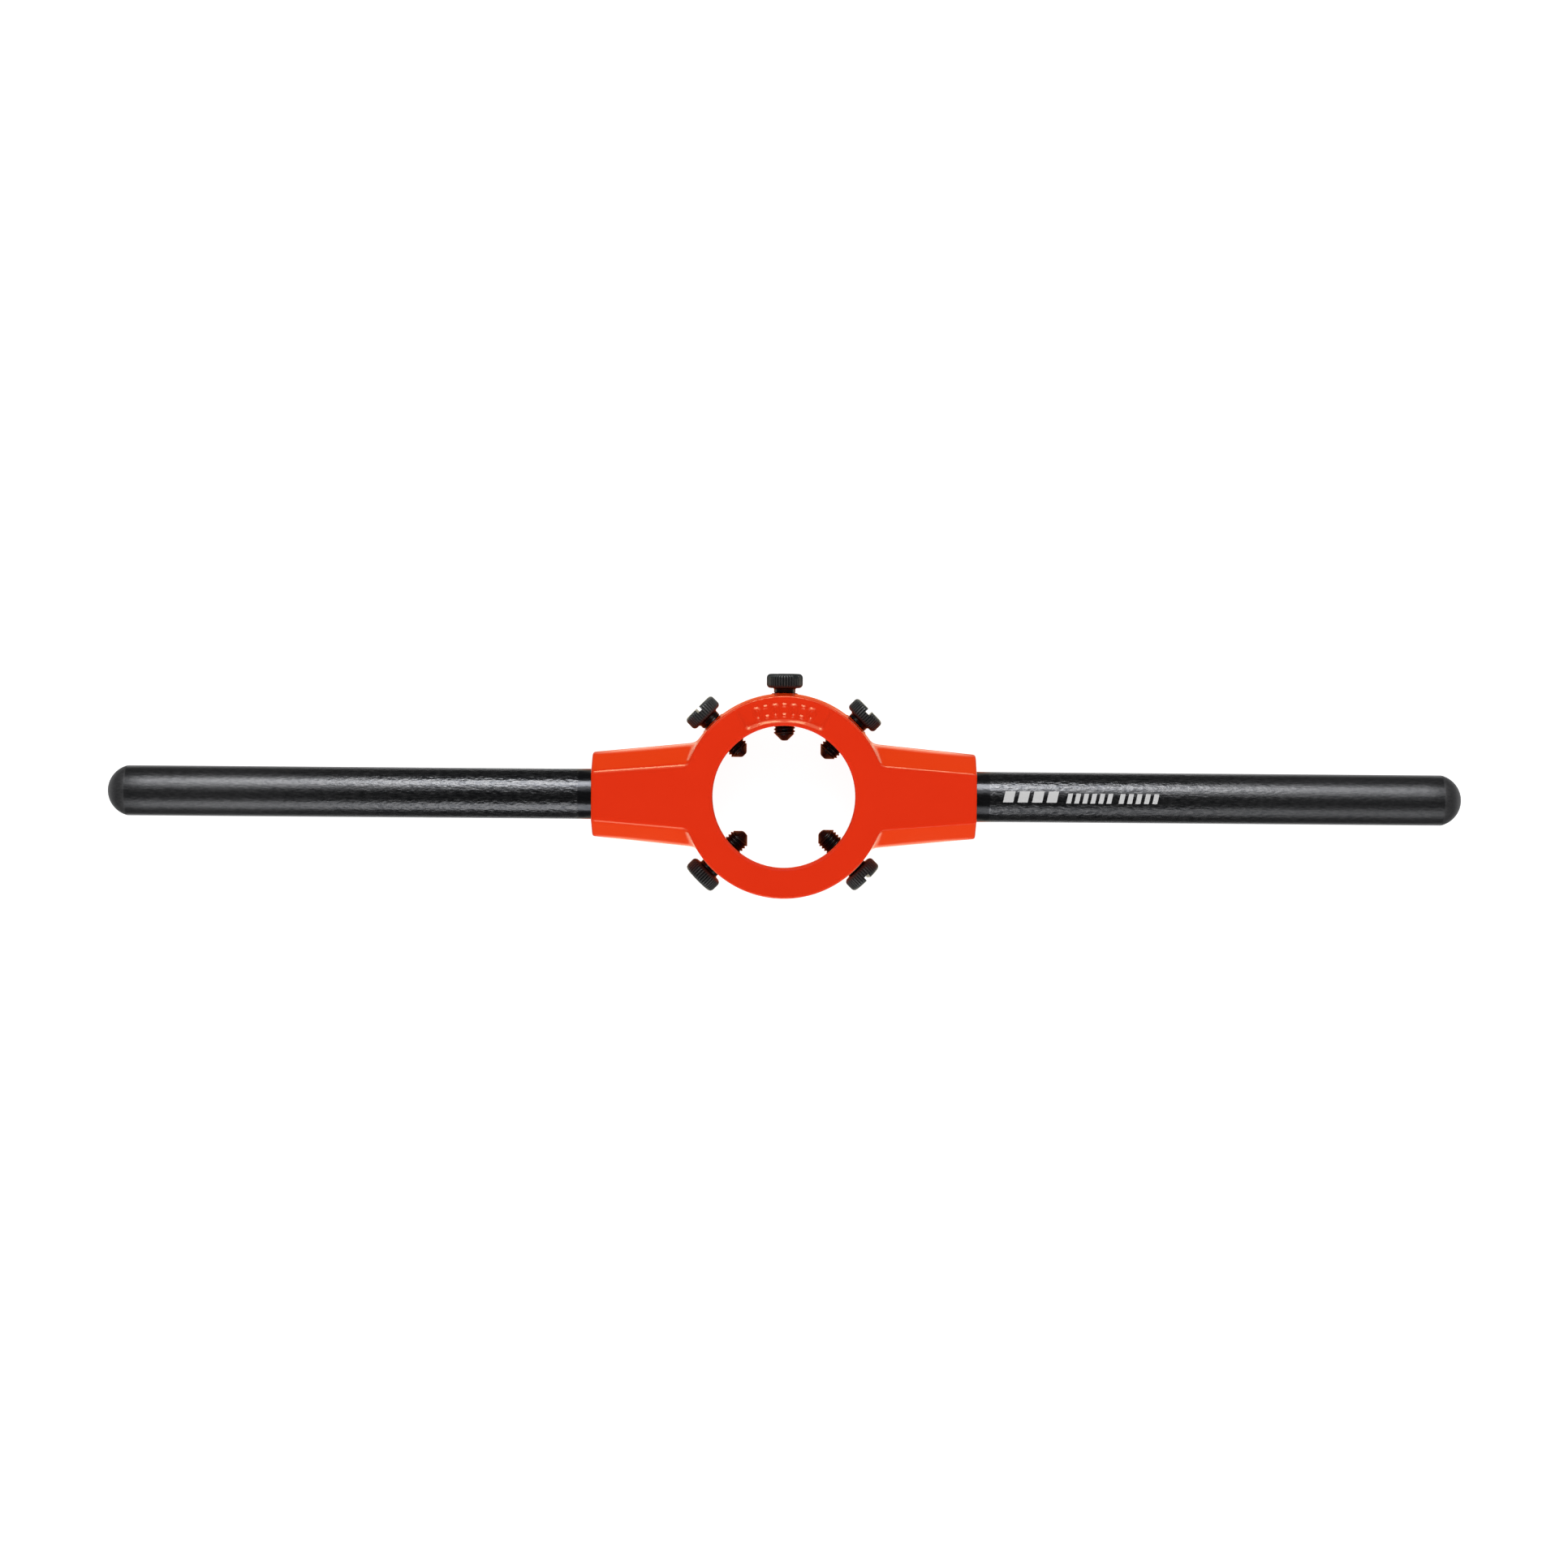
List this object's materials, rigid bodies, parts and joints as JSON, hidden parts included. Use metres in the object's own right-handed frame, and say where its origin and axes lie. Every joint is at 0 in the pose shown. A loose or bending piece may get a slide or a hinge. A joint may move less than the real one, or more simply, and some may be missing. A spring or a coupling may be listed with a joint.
{
  "type": "die stock handle",
  "caption": "Die stock: a cast ring that holds a round threading die by knurled radial clamping screws, with a straight rod handle screwed into the ear on each side.",
  "frame": {"origin": "on the ring's axis, in the plane of the open rim, which the stock lies on", "axes": "+Z along the ring's axis and out through the ledge, +X along the handles, +Y towards the screw that enters the die's slot"},
  "size_m": [0.315, 0.0519, 0.018],
  "materials": {
    "casting": "glossy orange-red paint on a zinc die casting",
    "handles": "blackened steel, oiled",
    "screws": "black oxide steel, knurled heads"
  },
  "bodies": {
    "stock": {"ring_body": "casting", "left_handle": "handles", "right_handle": "handles"},
    "spreading_screw": {"spreading_screw": "screws"},
    "left_closing_screw": {"left_closing_screw": "screws"},
    "right_closing_screw": {"right_closing_screw": "screws"},
    "left_holding_screw": {"left_holding_screw": "screws"},
    "right_holding_screw": {"right_holding_screw": "screws"}
  },
  "joints": [
    {"name": "spreading_screw_travel", "type": "slide", "parent": "stock", "child": "spreading_screw", "axis": [0, 1, 0], "range_m": [-0.00105, 0.00635]},
    {"name": "left_closing_screw_travel", "type": "slide", "parent": "stock", "child": "left_closing_screw", "axis": [-0.7071, 0.7071, 0], "range_m": [-0.00145, 0.00595]},
    {"name": "right_closing_screw_travel", "type": "slide", "parent": "stock", "child": "right_closing_screw", "axis": [0.7071, 0.7071, 0], "range_m": [-0.001, 0.0064]},
    {"name": "left_holding_screw_travel", "type": "slide", "parent": "stock", "child": "left_holding_screw", "axis": [-0.7071, -0.7071, 0], "range_m": [-0.00105, 0.00635]},
    {"name": "right_holding_screw_travel", "type": "slide", "parent": "stock", "child": "right_holding_screw", "axis": [0.7071, -0.7071, 0], "range_m": [-0.0005, 0.0069]}
  ]
}
